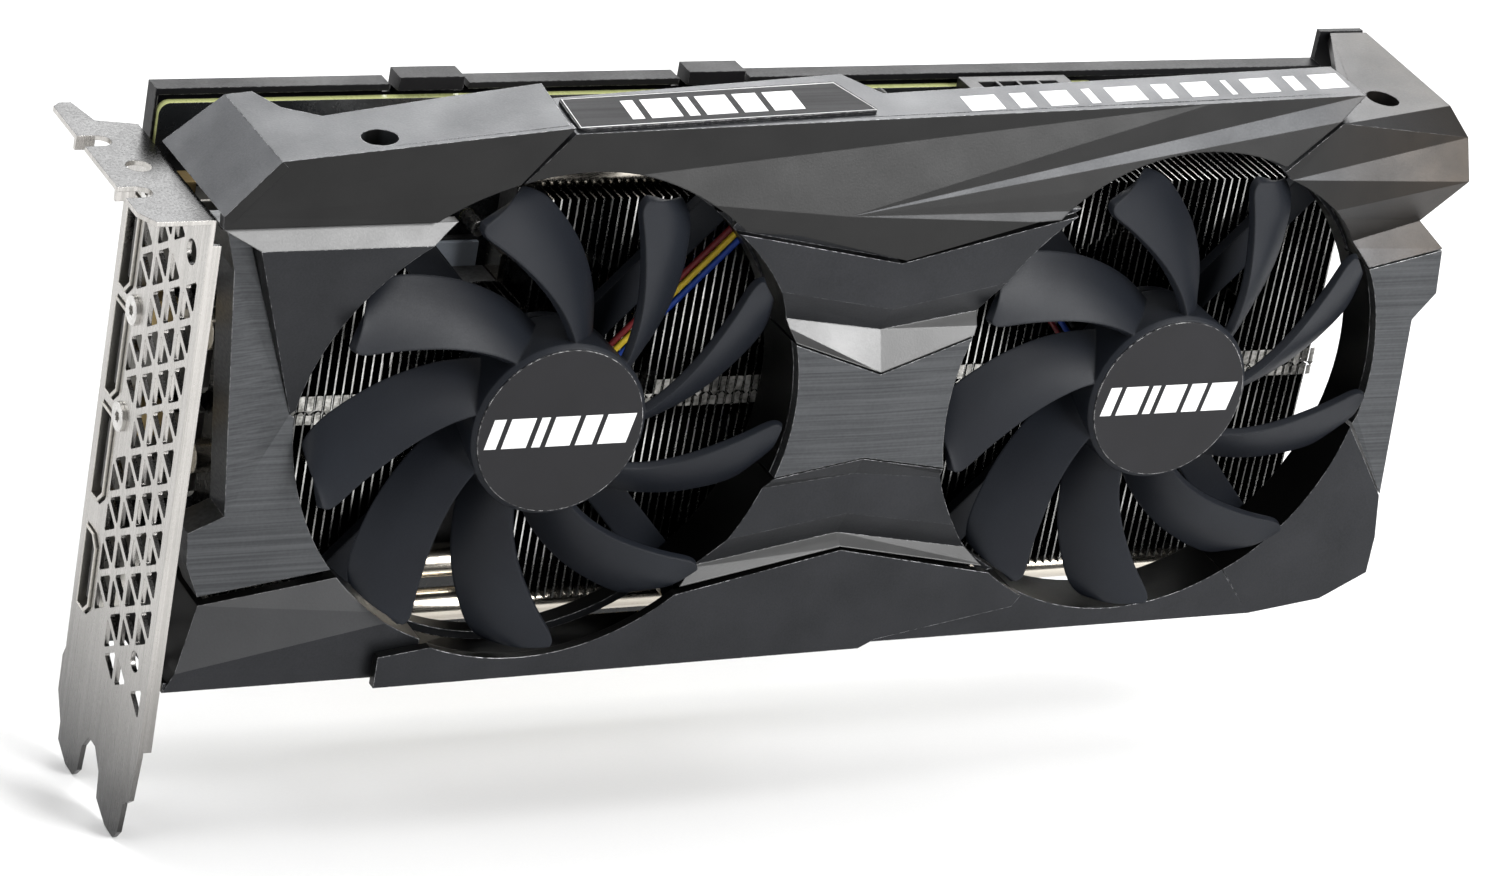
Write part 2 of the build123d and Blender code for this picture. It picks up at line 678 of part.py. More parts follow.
WIRE_R = 0.55
WIRE_STEP = 1.5
WIRE_Y = -24.3
WIRE_TOP = 111.5
WIRE_OFFSETS = (7.4, 6.1)   # middle wire of each fan beside its arm
WIRE_RUN = (10.0, 52.0)      # start and end of the straight along the arm
WIRE_BEHIND_Y = -4.5


def fan_wire(side, place):
    """Wire from behind the motor base along an arm, over the fins and down into its plug."""
    x, (header_x, header_z) = FAN_X[side], HEADER_CENTRES[side]
    sign = 1 if side == 0 else -1
    angle = math.radians(ARM_ANGLES[0])
    c, s = math.cos(angle), math.sin(angle)
    shift = place * WIRE_STEP
    off = WIRE_OFFSETS[side] + shift
    start, bend = [(x + sign * (along * c + off * s), WIRE_Y, FAN_Z + along * s - off * c)
                   for along in WIRE_RUN]
    drop_x, top = header_x + sign * shift, WIRE_TOP - shift
    over = (drop_x, WIRE_Y, top)
    behind = (drop_x, WIRE_BEHIND_Y, top)
    plug = (drop_x, WIRE_BEHIND_Y, header_z + 3.2)
    path = FilletPolyline(start, bend, over, behind, plug, radius=2.0)
    return sweep(Plane(start, z_dir=path % 0) * Circle(WIRE_R), path=path)


# ---------------------------------------------------------------- shroud surface
# Corner points of the moulded front, each (x, y, z). Points inside a fan opening are trimmed by it.
PANEL_LEFT = [
    [(-55.5, -35, 103.2), (-51.8, -35, 103.2), (-47.4, -33.5, 91.6), (-53, -33.8, 96)],
    [(-53, -33.8, 96), (-47.4, -33.5, 91.6), (-38.2, -31, 67.4), (-48.2, -33, 49.7)],
    [(-48.2, -33, 49.7), (-38.2, -31, 67.4), (-20, -32.5, 55), (-20, -33, 39.3), (-51.1, -33, 34.6)],
    [(-48.2, -33, 49.7), (-51.1, -33, 34.6), (-53.8, -33, 40.6), (-54.4, -33, 46.9)],
]
LEDGE_LEFT = [
    [(-57.6, -37.0, 105.0), (-12, -37.0, 105.0), (-12, -39.2, 101.7), (-51, -39.2, 101.7)],
    [(-57.6, -37.0, 105.0), (-51, -39.2, 101.7), (-51.6, -35, 103.2)],
    [(-51, -39.2, 101.7), (-12, -39.2, 101.7), (-22, -34, 80), (-38.2, -31, 67.4), (-47.4, -33.5, 91.6)],
    [(-51.6, -35, 103.2), (-51, -39.2, 101.7), (-47.4, -33.5, 91.6)],
]
FOOT_LEFT = [
    [(-51.1, -33.6, 33.2), (-18, -33.6, 38.2), (-10, -36, 30), (-54.6, -36, 21.6)],
    [(-54.6, -36, 21.6), (-10, -36, 30), (-10, -35.5, BOTTOM_EDGE), (-56.2, -35.5, BOTTOM_EDGE)],
]
BAND_ROWS = [
    [(34, -39.2, 102.3), (MID_X, -39.6, 95.4), (103, -39.2, 103.2)],
    [(40, -39.0, 91.7), (MID_X, -39.4, 86.5), (97, -39.0, 91.7)],
    [(45, -36.3, 84.8), (MID_X, -36.8, 81.4), (92, -36.3, 84.8)],
    [(46, -39.2, 82.4), (MID_X, -39.8, 74.4), (91, -39.2, 82.4)],
]
PANEL_MID_ROWS = [
    [(46, -39.2, 82.0), (MID_X, -39.8, 74.0), (91, -39.2, 82.0)],
    [(46, -39.2, 53.4), (MID_X, -39.8, 57.7), (91, -39.2, 53.4)],
]
LOWER_ROWS = [
    [(46, -39.0, 53.0), (MID_X, -39.5, 57.3), (91, -39.0, 53.0)],
    [(45, -37.3, 50.8), (MID_X, -37.8, 53.6), (92, -37.3, 50.8)],
    [(41, -37.3, 40.8), (MID_X, -37.8, 45.6), (96, -37.3, 40.8)],
    [(36, -35.0, 34.6), (MID_X, -35.5, 40.6), (101, -35.0, 34.6)],
    [(33, -37.2, 31.6), (MID_X, -37.8, 38.9), (104, -37.2, 31.6)],
]
FOOT_RIGHT = [
    [(80, -36.2, 19.8), (107, -36.2, 24.8), (118, -36.2, 30), (150, -36.2, 30), (160, -36.2, BOTTOM_EDGE),
     (80, -36.2, BOTTOM_EDGE)],
]
TOP_LEFT_FRONT = [
    [(-57.8, -38, 107.6), (-49.5, -39, 117.6), (1.9, -39, 122.3), (-7.0, -38.6, 111.2), (-13.4, -38, 105.4),
     (-57.6, -38, 105.4)],
]
TOP_LEFT_SLOPE = [(-57.8, -38, 107.6), (-49.5, -39, 117.6), (-49.5, -12, 117.6), (-57.8, -8, 107.6)]
TOP_LEFT_ROOF = [(-49.5, -37.8), (1.3, -37.8), (3.3, -21), (-13.5, -22), (-37, -24), (-42.3, -19.2),
                 (-44.8, -12), (-49.5, -12)]
TOP_RIGHT_FRONT = [
    [(-6.6, -38.7, 111.2), (2.2, -39, 121.2), (127.5, -35.2, 122.3), (55.7, -40.4, 105.1)],
    [(-6.6, -38.7, 111.2), (55.7, -40.4, 105.1), (46.6, -40.6, 101.9), (35, -40.2, 102.9), (10, -39.4, 103)],
    [(55.7, -40.4, 105.1), (127.5, -35.2, 122.3), (160.7, -34, 122.7), (155.2, -36, 118.5),
     (143.6, -38, 110.2)],
    [(55.7, -40.4, 105.1), (143.6, -38, 110.2), (128, -39.5, 104), (93.5, -40.6, 102.9), (MID_X, -41, 96.6),
     (46.6, -40.6, 101.9)],
]
TOP_RIGHT_ROOF = [(2.3, -37.8), (160.7, -32.8), (160.8, -21.1), (65.9, -26.6), (61.7, -18), (3.9, -24.4)]
END_FRONT = [
    [(155.9, -36, 118.1), (CARD_END, -28, 117.5), (CARD_END, -35.5, 114.5), (146, -38, 108.2),
     (144.4, -38, 109.8)],
    [(146, -38, 108.2), (CARD_END, -35.5, 114.5), (CARD_END, -38.9, 107.2), (150, -38.4, 100.8)],
    [(150, -38.4, 100.8), (CARD_END, -38.9, 107.2), (178.5, -34.6, 97.6), (160, -34.5, 92.6)],
    [(160, -34.5, 92.6), (178.5, -34.6, 97.6), (182.8, -37.6, 93.2), (162, -37.5, 88.6)],
]
PANEL_RIGHT = [
    [(162, -37.5, 88.2), (182.8, -37.6, 92.8), (CARD_END, -37.4, 84), (180.4, -36.9, 78.5), (165, -36.6, 74)],
    [(165, -36.6, 74), (180.4, -36.9, 78.5), (182.9, -36.9, 42.1), (172.6, -36.3, 58)],
]
END_FOOT = [
    [(172.3, -36.2, 57.4), (182.9, -36.8, 41.7), (CARD_END, -37.2, 33), (150, -36.2, 30.2)],
    [(150, -36.2, 30.2), (CARD_END, -37.2, 33), (CARD_END, -37.2, 25.4), (175, -36.8, 20.2),
     (160, -36.2, BOTTOM_EDGE)],
    [(165, -36.2, 62), (172.3, -36.2, 57.4), (150, -36.2, 30.2)],
]


# Edge points of the walls that run back from the left edges of the front, each (x, y, z).
PANEL_SIDE = [(-55.5, -34, 103.2), (-53, -32.8, 96), (-48.2, -32, 49.7), (-54.4, -32, 46.9),
              (-53.8, -32, 40.6), (-51.1, -32, 34.6)]
FOOT_SIDE = [(-51.1, -32.6, 33.2), (-54.6, -35, 21.6), (-56.2, -34.5, BOTTOM_EDGE)]


def ribbon_facets(rows):
    facets = []
    for upper, lower in zip(rows, rows[1:]):
        for i in range(len(upper) - 1):
            facets.append([upper[i], upper[i + 1], lower[i + 1], lower[i]])
    return facets


def skins(facets, depth=SHELL):
    return [piece for facet in facets for piece in skin(facet, depth=depth)]


def side_walls(edge, back_y):
    """Walls from the points of an edge straight back."""
    pieces = []
    for upper, lower in zip(edge, edge[1:]):
        corners = [upper, lower, (lower[0], back_y, lower[2]), (upper[0], back_y, upper[2])]
        pieces += skin(corners, direction=(1, 0, 0), depth=1.8)
    return pieces


def shifted(facets, dy):
    return [[(x, y + dy, z) for x, y, z in facet] for facet in facets]


def trimmed(shape):
    return shape.cut(*fan_openings())


def flared(shapes):
    """Shapes cut by the openings where they flare upwards, under the top covers."""
    flares = [rod_y(x - FLARE[0], FAN_Z + FLARE[1], FLARE_R, -60, DUCT_RING_FRONT - 1) for x in FAN_X]
    return [solid for shape in shapes for solid in shape.cut(*flares).solids()]


FLARE = (1.2, 1.9)          # the flared part of an opening lies this far left of and above its hub
FLARE_R = 45.6
DUCT_BACK = -25.3
DUCT_RING_FRONT = -28.7     # the duct is a full ring behind this
BODY_FACETS = (LEDGE_LEFT + FOOT_LEFT + ribbon_facets(BAND_ROWS) + ribbon_facets(LOWER_ROWS) + FOOT_RIGHT
               + END_FOOT)
COVER_FACETS = (PANEL_LEFT + ribbon_facets(PANEL_MID_ROWS) + TOP_LEFT_FRONT + TOP_RIGHT_FRONT + END_FRONT
                + PANEL_RIGHT)


def fan_duct(side):
    """Round wall behind one fan opening; its front edge follows the moulded surface."""
    low, high = (-60, MID_X) if side == 0 else (MID_X, CARD_END)
    behind = shifted(BODY_FACETS, SHELL - 0.1) + shifted(COVER_FACETS, SHELL + 0.15)
    near = [facet for facet in behind if any(low <= x <= high for x, _, _ in facet)]
    x, outer = FAN_X[side], OPENING_R + 1.5
    wall = ring_y(x, FAN_Z, outer, OPENING_R, -45, DUCT_BACK)
    pieces = [ring_y(x, FAN_Z, outer, OPENING_R, DUCT_RING_FRONT, DUCT_BACK)]
    for piece in skins(near, depth=20):
        pieces += flared((piece.intersect(wall) or ShapeList()).solids())
    return pieces


def lower_outline():
    edge = BOTTOM_EDGE
    return [(-18.5, edge - 0.6), (-18.5, 23.2), (-8, 24.6), (5, 30), (34, 31.0), (MID_X, 38.4), (103, 31.0),
            (109, 28), (106.5, 24.2), (79, 19.4), (76, edge)]


def lower_trim():
    """Arrow-shaped strip along the bottom edge."""
    return trimmed(plate_xz(lower_outline(), -38.2, -36.4))


def shroud_walls():
    """Lower wall of the shroud and its side wall next to the bracket."""
    lower = [block(-56.2, 77, -35.4, -22.5, BOTTOM_EDGE, BOTTOM_EDGE + 1.8),
             block(76, 160, -36.2, -22.5, BOTTOM_EDGE, BOTTOM_EDGE + 1.8)]
    return lower + side_walls(FOOT_SIDE, -10.0)


def band_backing():
    """Flat strip that closes the joint between the upper band and the top right cover."""
    outline = [(34, 100.8), (MID_X, 93.9), (107, 101.7), (107, 103.9), (93.5, 103.9), (MID_X, 98),
               (46.6, 103.2), (36, 103.8)]
    return plate_xz(outline, -37.7, -36.7)


def fan_bosses():
    """Posts inside the shroud that the fan arms screw into."""
    return [ring_y(x, z, 3.6, 1.25, -31.5, ARM_Y[0] - 0.1) for x, z in arm_eyes()]


def shroud_body():
    ducts = fan_duct(0) + fan_duct(1)
    front = joined(skins(BODY_FACETS) + shroud_walls() + [band_backing()])
    return joined([trimmed(front)] + ducts + fan_bosses())


def roof(outline, z_at, thickness=SHELL):
    """Sloping plate under an outline; z_at gives the height of its top at x."""
    corners = [(x, y, z_at(x)) for x, y in outline]
    face = make_face(Polyline(corners, close=True))
    return extrude(face, amount=thickness, dir=(0, 0, -1))


def left_roof_z(x):
    return 117.6 + (x + 49.5) * (122.3 - 117.6) / (1.4 + 49.5)


def right_roof_z(x):
    return 121.2 + (x - 2.2) * (122.7 - 121.2) / (160.7 - 2.2)


COVER_HOLES = {"left": (-30.9, -34.2), "end": (170.6, -25.5)}
HOLE_R = 3.1
HOLE_FLOOR = 109.0


def screw_well(name, top):
    """Well below a cover hole, with a floor that the cover screw clamps."""
    x, y = COVER_HOLES[name]
    well = rod_z(x, y, HOLE_R + 0.8, HOLE_FLOOR, top) - rod_z(x, y, HOLE_R, HOLE_FLOOR + 1.5, top + 1)
    return well - rod_z(x, y, 1.5, HOLE_FLOOR - 1, HOLE_FLOOR + 2)


def cover_screws():
    screws = []
    for x, y in COVER_HOLES.values():
        screw = rod_z(x, y, 2.5, HOLE_FLOOR + 1.5, HOLE_FLOOR + 3.2)
        screw += rod_z(x, y, 1.4, HOLE_FLOOR - 2, HOLE_FLOOR + 1.5)
        for angle in (0, 90):
            screw -= Pos(x, y, HOLE_FLOOR + 3.2) * Rot(0, 0, angle) * Box(2.8, 0.6, 1.6)
        screws.append(screw)
    return screws


def top_left_cover():
    pieces = skins(TOP_LEFT_FRONT)
    pieces += skin(TOP_LEFT_SLOPE, direction=(0.75, 0, -0.66))
    pieces.append(roof(TOP_LEFT_ROOF, left_roof_z))
    x, y = COVER_HOLES["left"]
    cover = joined(pieces) - rod_z(x, y, HOLE_R, 110, 130)
    return flared([trimmed(joined([cover, screw_well("left", 118.2)]))])


def top_right_cover():
    return flared([trimmed(joined(skins(TOP_RIGHT_FRONT) + [roof(TOP_RIGHT_ROOF, right_roof_z)]))])


def name_plate():
    outline = [(4.3, -26.0), (58.3, -22.3), (61.0, -34.8), (2.9, -38.3)]
    plate = roof(outline, lambda x: right_roof_z(x) + 0.55, 0.5)
    return fillet(plate.edges().filter_by(Axis.Z), 1.0)


def end_cap():
    """Far end: faceted front, sloping top plate and the corner that wraps to the back."""
    top = [(155.9, -36, 118.1), (CARD_END, -28, 117.5), (CARD_END, 2.4, 119.0), (176, 2.4, 119.0),
           (168, -17, 118.6), (161.5, -22, 118.4)]
    pieces = skins(END_FRONT) + skin(top, direction=(0, 0, -1))
    pieces.append(block(CARD_END - SHELL, CARD_END, -28, 2.4, 108, 117.4))
    x, y = COVER_HOLES["end"]
    cap = joined(pieces) - rod_z(x, y, HOLE_R, 110, 130)
    return trimmed(joined([cap, screw_well("end", 117.0)]))


def left_panel():
    """Panel beside the left fan with its side wall, tucked under the ledge."""
    panel = trimmed(joined(skins(PANEL_LEFT) + side_walls(PANEL_SIDE, -26.0)))
    return panel.cut(*skins(LEDGE_LEFT))


def side_panel(facets):
    return trimmed(joined(skins(facets)))


# ---------------------------------------------------------------- write every node
def main():
    save("circuit_board", circuit_board())
    save("edge_contacts", edge_contacts())
    save("chip_package", chip_package())
    save("chip_die", chip_die())
    save("memory_chips", memory_chips())
    save("chokes", chokes())
    save("power_stages", power_stages())
    save("capacitors", capacitors())
    save("power_socket", power_socket())
    save("power_pins", power_pins())
    save("fan_headers", fan_headers())
    save("fan_plugs", fan_plugs())

    save("display_sockets", [port_shell(centre, DP_LENGTH, 2.2, 0.2) for centre in DP_CENTRES])
    save("hdmi_socket", port_shell(HDMI_CENTRE, HDMI_LENGTH, 1.9, 1.9))
    lengths = [(centre, DP_LENGTH) for centre in DP_CENTRES] + [(HDMI_CENTRE, HDMI_LENGTH)]
    save("socket_tongues", [port_tongue(centre, length) for centre, length in lengths])

    save("io_bracket", io_bracket())
    save("bracket_posts", bracket_posts())
    save("bracket_screws", [torx_screw(y, z) for y, z in SCREW_SPOTS])
    save("backplate", backplate())
    save("backplate_screws", [cross_screw(x, z, PLATE_SEAT, PLATE_SEAT + 3.0) for x, z in BOARD_HOLES])
    save("retention_plate", retention_plate())
    save("spring_washers", spring_washers())
    save("chip_screws", chip_screws())

    save("lower_fins", fin_stack(FIN_BOTTOM, FIN_SPLIT - 0.1, (FIN_BOTTOM - 1, LOWER_POCKET_TOP)))
    save("upper_fins", fin_stack(FIN_SPLIT + 0.1, FIN_TOP, (UPPER_POCKET_BOTTOM, FIN_TOP + 1)))
    save("fin_tabs", fin_tabs())
    save("heat_pipes", [rod_x(PIPE_Y, z, PIPE_R, left, FIN_RIGHT - 3) for z, left in PIPE_ROWS])
    save("lower_edge_pipe", rod_x(EDGE_PIPE_Y, LOWER_PIPE_Z, PIPE_R, -20, 160))
    save("upper_edge_pipe", rod_x(EDGE_PIPE_Y, UPPER_PIPE_Z, PIPE_R, -8, 58))
    save("cold_plate", cold_plate())
    save("base_frame", base_frame())
    save("memory_pads", memory_pads())

    centres = [Pos(x, 0, FAN_Z) for x in FAN_X]
    turning = {"fan_rotor": rotor(), "magnet_ring": magnet_ring(), "rotor_shaft": rotor_shaft(),
               "hub_label": hub_label()}
    for name, place in zip(FAN_NAMES, centres):
        for kind, shape in turning.items():
            save(f"{kind}_{name}", place * shape)
        save(f"fan_frame_{name}", place * fan_frame())
    save("motor_cores", [place * stator() for place in centres])
    save("motor_windings", [place * coil for place in centres for coil in windings()])
    save("sleeve_bearings", [place * bearing() for place in centres])
    save("fan_screws", fan_screws())
    save("red_wires", [fan_wire(0, -1), fan_wire(1, 1)])
    save("blue_wires", [fan_wire(0, 1), fan_wire(1, 0)])
    save("yellow_wire", fan_wire(0, 0))
    save("black_wire", fan_wire(1, -1))

    save("shroud_body", shroud_body())
    save("left_panel", left_panel())
    save("centre_panel", side_panel(ribbon_facets(PANEL_MID_ROWS)))
    save("right_panel", side_panel(PANEL_RIGHT))
    save("top_left_cover", top_left_cover())
    save("top_right_cover", top_right_cover())
    save("name_plate", name_plate())
    save("end_cap", end_cap())
    save("lower_trim", lower_trim())
    save("cover_screws", cover_screws())


main()
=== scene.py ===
import json
import math
import random

import bmesh
import bpy
from mathutils import Matrix, Vector

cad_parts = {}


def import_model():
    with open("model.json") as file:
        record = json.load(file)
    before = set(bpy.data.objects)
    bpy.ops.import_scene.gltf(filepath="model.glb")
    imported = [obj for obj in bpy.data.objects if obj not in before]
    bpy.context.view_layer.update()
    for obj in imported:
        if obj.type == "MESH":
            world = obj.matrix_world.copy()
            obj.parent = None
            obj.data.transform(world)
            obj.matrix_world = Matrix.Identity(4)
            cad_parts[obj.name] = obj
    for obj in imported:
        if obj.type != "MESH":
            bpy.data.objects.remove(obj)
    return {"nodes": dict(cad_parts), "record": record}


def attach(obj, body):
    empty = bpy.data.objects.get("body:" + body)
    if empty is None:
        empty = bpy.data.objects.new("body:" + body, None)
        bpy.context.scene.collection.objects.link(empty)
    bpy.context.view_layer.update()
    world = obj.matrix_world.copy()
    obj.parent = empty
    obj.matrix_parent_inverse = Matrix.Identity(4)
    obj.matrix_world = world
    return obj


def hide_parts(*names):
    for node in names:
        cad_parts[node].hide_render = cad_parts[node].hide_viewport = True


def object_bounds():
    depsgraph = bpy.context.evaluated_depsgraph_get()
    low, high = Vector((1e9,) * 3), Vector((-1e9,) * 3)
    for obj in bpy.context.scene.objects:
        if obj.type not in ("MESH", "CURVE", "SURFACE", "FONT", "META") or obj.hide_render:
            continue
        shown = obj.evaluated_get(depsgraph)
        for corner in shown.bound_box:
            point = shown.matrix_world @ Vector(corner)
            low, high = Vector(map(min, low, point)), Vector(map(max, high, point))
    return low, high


# Look of a dual-fan graphics card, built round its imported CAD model. Metres, in the CAD's own frame.
MM = 0.001

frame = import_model()
CAD_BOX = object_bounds()
NODES = frame["nodes"]


# ---------------------------------------------------------------- node helpers
def add(tree, kind, **settings):
    """New shader node with its settings."""
    node = tree.nodes.new(kind)
    for key, value in settings.items():
        setattr(node, key, value)
    return node


def feed(tree, source, socket):
    """Link a socket, or set its value."""
    if isinstance(source, bpy.types.NodeSocket):
        tree.links.new(source, socket)
    else:
        socket.default_value = source


def math_node(tree, operation, a, b=0.0, clamp=False):
    node = add(tree, "ShaderNodeMath", operation=operation, use_clamp=clamp)
    feed(tree, a, node.inputs[0])
    feed(tree, b, node.inputs[1])
    return node.outputs[0]


def ramp(tree, value, low, high, to_low=0.0, to_high=1.0):
    """Map a range to another, clamped."""
    node = add(tree, "ShaderNodeMapRange", clamp=True)
    feed(tree, value, node.inputs["Value"])
    for name, number in (("From Min", low), ("From Max", high), ("To Min", to_low), ("To Max", to_high)):
        node.inputs[name].default_value = number
    return node.outputs["Result"]


def mix(tree, factor, a, b):
    """Mix two colours."""
    node = add(tree, "ShaderNodeMix", data_type="RGBA")
    feed(tree, factor, node.inputs[0])
    feed(tree, a, node.inputs[6])
    feed(tree, b, node.inputs[7])
    return node.outputs[2]


def position(tree, stretch=(1, 1, 1)):
    """Position on the object in metres, stretched along the axes."""
    coords = add(tree, "ShaderNodeTexCoord")
    mapping = add(tree, "ShaderNodeMapping")
    mapping.inputs["Scale"].default_value = stretch
    tree.links.new(coords.outputs["Object"], mapping.inputs["Vector"])
    return mapping.outputs["Vector"]


def noise(tree, size, detail=3.0, stretch=(1, 1, 1)):
    """Noise with features about this many metres across."""
    node = add(tree, "ShaderNodeTexNoise")
    node.inputs["Scale"].default_value = 1 / size
    node.inputs["Detail"].default_value = detail
    tree.links.new(position(tree, stretch), node.inputs["Vector"])
    return node.outputs["Fac"]


def bump(tree, height, depth, normal=None):
    node = add(tree, "ShaderNodeBump")
    node.inputs["Distance"].default_value = depth
    node.inputs["Strength"].default_value = 1.0
    tree.links.new(height, node.inputs["Height"])
    if normal is not None:
        tree.links.new(normal, node.inputs["Normal"])
    return node.outputs["Normal"]


def rounded(tree, radius):
    """Normal that rounds the edges by a radius, and a mask that is 1 on those edges."""
    bevel = add(tree, "ShaderNodeBevel", samples=4)
    bevel.inputs["Radius"].default_value = radius
    geometry = add(tree, "ShaderNodeNewGeometry")
    dot = add(tree, "ShaderNodeVectorMath", operation="DOT_PRODUCT")
    tree.links.new(bevel.outputs["Normal"], dot.inputs[0])
    tree.links.new(geometry.outputs["Normal"], dot.inputs[1])
    return bevel.outputs["Normal"], ramp(tree, dot.outputs["Value"], 0.985, 0.80)


def surface(name, dark, light, metallic=0.0, rough=(0.4, 0.6), mottle=12 * MM, grain=None, brush=None,
            edge=0.25 * MM, wear=None, specular=0.5):
    """Procedural material: broad mottling, fine grain, brushing and worn edges.

    grain is (size, depth); brush is (stretch along X, Y and Z, depth); wear is (colour, amount)."""
    material = bpy.data.materials.new(name)
    material.use_nodes = True
    tree = material.node_tree
    shader = tree.nodes["Principled BSDF"]
    shader.inputs["Metallic"].default_value = metallic
    shader.inputs["Specular IOR Level"].default_value = specular
    broad = noise(tree, mottle, 4.0)
    fine = noise(tree, grain[0] if grain else 0.6 * MM, 2.0)
    shade = math_node(tree, "ADD", math_node(tree, "MULTIPLY", broad, 0.6),
                      math_node(tree, "MULTIPLY", fine, 0.4))
    if brush:
        streaks = noise(tree, 1.0, 3.0, brush[0])
        shade = math_node(tree, "ADD", math_node(tree, "MULTIPLY", shade, 0.35),
                          math_node(tree, "MULTIPLY", streaks, 0.65))
    shade = ramp(tree, shade, 0.34, 0.66)
    colour = mix(tree, shade, (*dark, 1), (*light, 1))
    normal, on_edge = rounded(tree, edge)
    if wear:
        chips = ramp(tree, noise(tree, 0.9 * MM, 5.0), 0.42, 0.60)
        worn = math_node(tree, "MULTIPLY", math_node(tree, "MULTIPLY", on_edge, chips), wear[1], clamp=True)
        colour = mix(tree, worn, colour, (*wear[0], 1))
    tree.links.new(colour, shader.inputs["Base Color"])
    tree.links.new(ramp(tree, shade, 0.0, 1.0, rough[1], rough[0]), shader.inputs["Roughness"])
    if grain:
        normal = bump(tree, fine, grain[1], normal)
    if brush:
        normal = bump(tree, streaks, brush[1], normal)
    tree.links.new(normal, shader.inputs["Normal"])
    return material


# ---------------------------------------------------------------- materials
ALONG_X = (18, 900, 2600)       # stretch of the streaks of a brushed surface
ALONG_Z = (2600, 2600, 25)

